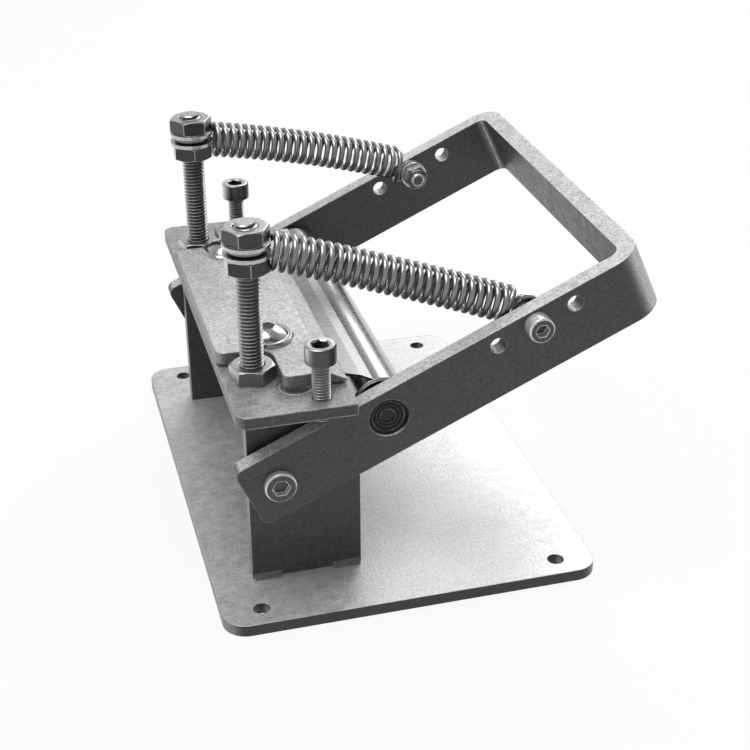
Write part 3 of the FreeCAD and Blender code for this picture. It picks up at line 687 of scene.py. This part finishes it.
def pale_floor():
    s = Surface("pale_floor")
    path = s.tree.nodes.new("ShaderNodeLightPath")
    seen = s.math("MAXIMUM", path.outputs["Is Camera Ray"], path.outputs["Is Glossy Ray"])
    seen = s.math("MAXIMUM", seen, path.outputs["Is Transmission Ray"])
    s.colour(s.mix(seen, grey(FLOOR_SHADE), grey(FLOOR_SEEN)))
    s.set(Roughness=0.9)
    glow = s.tree.nodes.new("ShaderNodeEmission")
    glow.inputs["Color"].default_value = (1, 1, 1, 1)
    glow.inputs["Strength"].default_value = 1.0
    both = s.tree.nodes.new("ShaderNodeMixShader")
    s.link(s.math("MULTIPLY", seen, FLOOR_GLOW), both.inputs[0])
    s.tree.links.new(s.shader.outputs[0], both.inputs[1])
    s.tree.links.new(glow.outputs[0], both.inputs[2])
    s.tree.links.new(both.outputs[0], s.out.inputs["Surface"])
    return s.material


floor_mesh.materials.append(pale_floor())

SKY_LOW, SKY_HIGH = 0.2, 0.9           # heights where the gradient starts and ends
TONE_LOW, TONE_HIGH = 0.7, 0.35
SKY_STRENGTH = 0.8
world = bpy.data.worlds.new("studio")
bpy.context.scene.world = world
world.use_nodes = True
tree = world.node_tree
background = tree.nodes["Background"]
where = tree.nodes.new("ShaderNodeTexCoord")
split = tree.nodes.new("ShaderNodeSeparateXYZ")
tree.links.new(where.outputs["Generated"], split.inputs[0])
shade = tree.nodes.new("ShaderNodeMapRange")
tree.links.new(split.outputs["Z"], shade.inputs["Value"])
shade.interpolation_type = "SMOOTHSTEP"
shade.inputs["From Min"].default_value = SKY_LOW
shade.inputs["From Max"].default_value = SKY_HIGH
shade.inputs["To Min"].default_value = TONE_LOW
shade.inputs["To Max"].default_value = TONE_HIGH
tree.links.new(shade.outputs["Result"], background.inputs["Color"])
background.inputs["Strength"].default_value = SKY_STRENGTH
plain = tree.nodes.new("ShaderNodeBackground")
plain.inputs["Color"].default_value = grey(HORIZON)
path = tree.nodes.new("ShaderNodeLightPath")
chosen = tree.nodes.new("ShaderNodeMixShader")
tree.links.new(path.outputs["Is Camera Ray"], chosen.inputs[0])
tree.links.new(background.outputs[0], chosen.inputs[1])
tree.links.new(plain.outputs[0], chosen.inputs[2])
tree.links.new(chosen.outputs[0], tree.nodes["World Output"].inputs["Surface"])


def lamp(name, place, aim, size, power):
    light = bpy.data.lights.new(name, "AREA")
    light.shape = "RECTANGLE"
    light.size, light.size_y = size
    light.energy = power
    holder = bpy.data.objects.new(name, light)
    bpy.context.scene.collection.objects.link(holder)
    holder.location = place
    holder.rotation_euler = (Vector(aim) - Vector(place)).to_track_quat("-Z", "Y").to_euler()


lamp("key", (0.75, 1.0, 0.95), (0.0, 0.0, 0.06), (1.0, 0.8), 8.5)
lamp("top", (-0.25, -0.1, 1.0), (0.0, 0.0, 0.05), (0.6, 0.6), 5.0)

# The camera, solved from the photo
CAMERA_PLACE = Vector((-115.04, -460.68, 296.22)) * MM
CAMERA_AZIMUTH = math.radians(-15.217)
CAMERA_ELEVATION = math.radians(29.258)
CAMERA_ROLL = math.radians(-0.245)
IMAGE = 750               # pixels along each side
FOCAL = 1494.39           # pixels
AXIS_X, AXIS_Y = 376.681, 396.458      # where the lens looks, in pixels
SENSOR = 36               # millimetres
a, e, r = CAMERA_AZIMUTH, CAMERA_ELEVATION, CAMERA_ROLL
back = Vector((math.sin(a) * math.cos(e), -math.cos(a) * math.cos(e), math.sin(e)))
right = Vector((math.cos(a), math.sin(a), 0))
up = back.cross(right)
turned_right = right * math.cos(r) + up * math.sin(r)
turned_up = up * math.cos(r) - right * math.sin(r)
camera = bpy.data.cameras.new("camera")
camera.sensor_width = SENSOR
camera.lens = FOCAL * SENSOR / IMAGE
camera.shift_x = (IMAGE / 2 - AXIS_X) / IMAGE
camera.shift_y = (AXIS_Y - IMAGE / 2) / IMAGE
camera.clip_start, camera.clip_end = 0.01, 100
eye = bpy.data.objects.new("camera", camera)
bpy.context.scene.collection.objects.link(eye)
axes = Matrix((turned_right, turned_up, back)).transposed()
eye.matrix_world = Matrix.Translation(CAMERA_PLACE) @ axes.to_4x4()
bpy.context.scene.camera = eye
bpy.context.scene.view_settings.view_transform = "Standard"
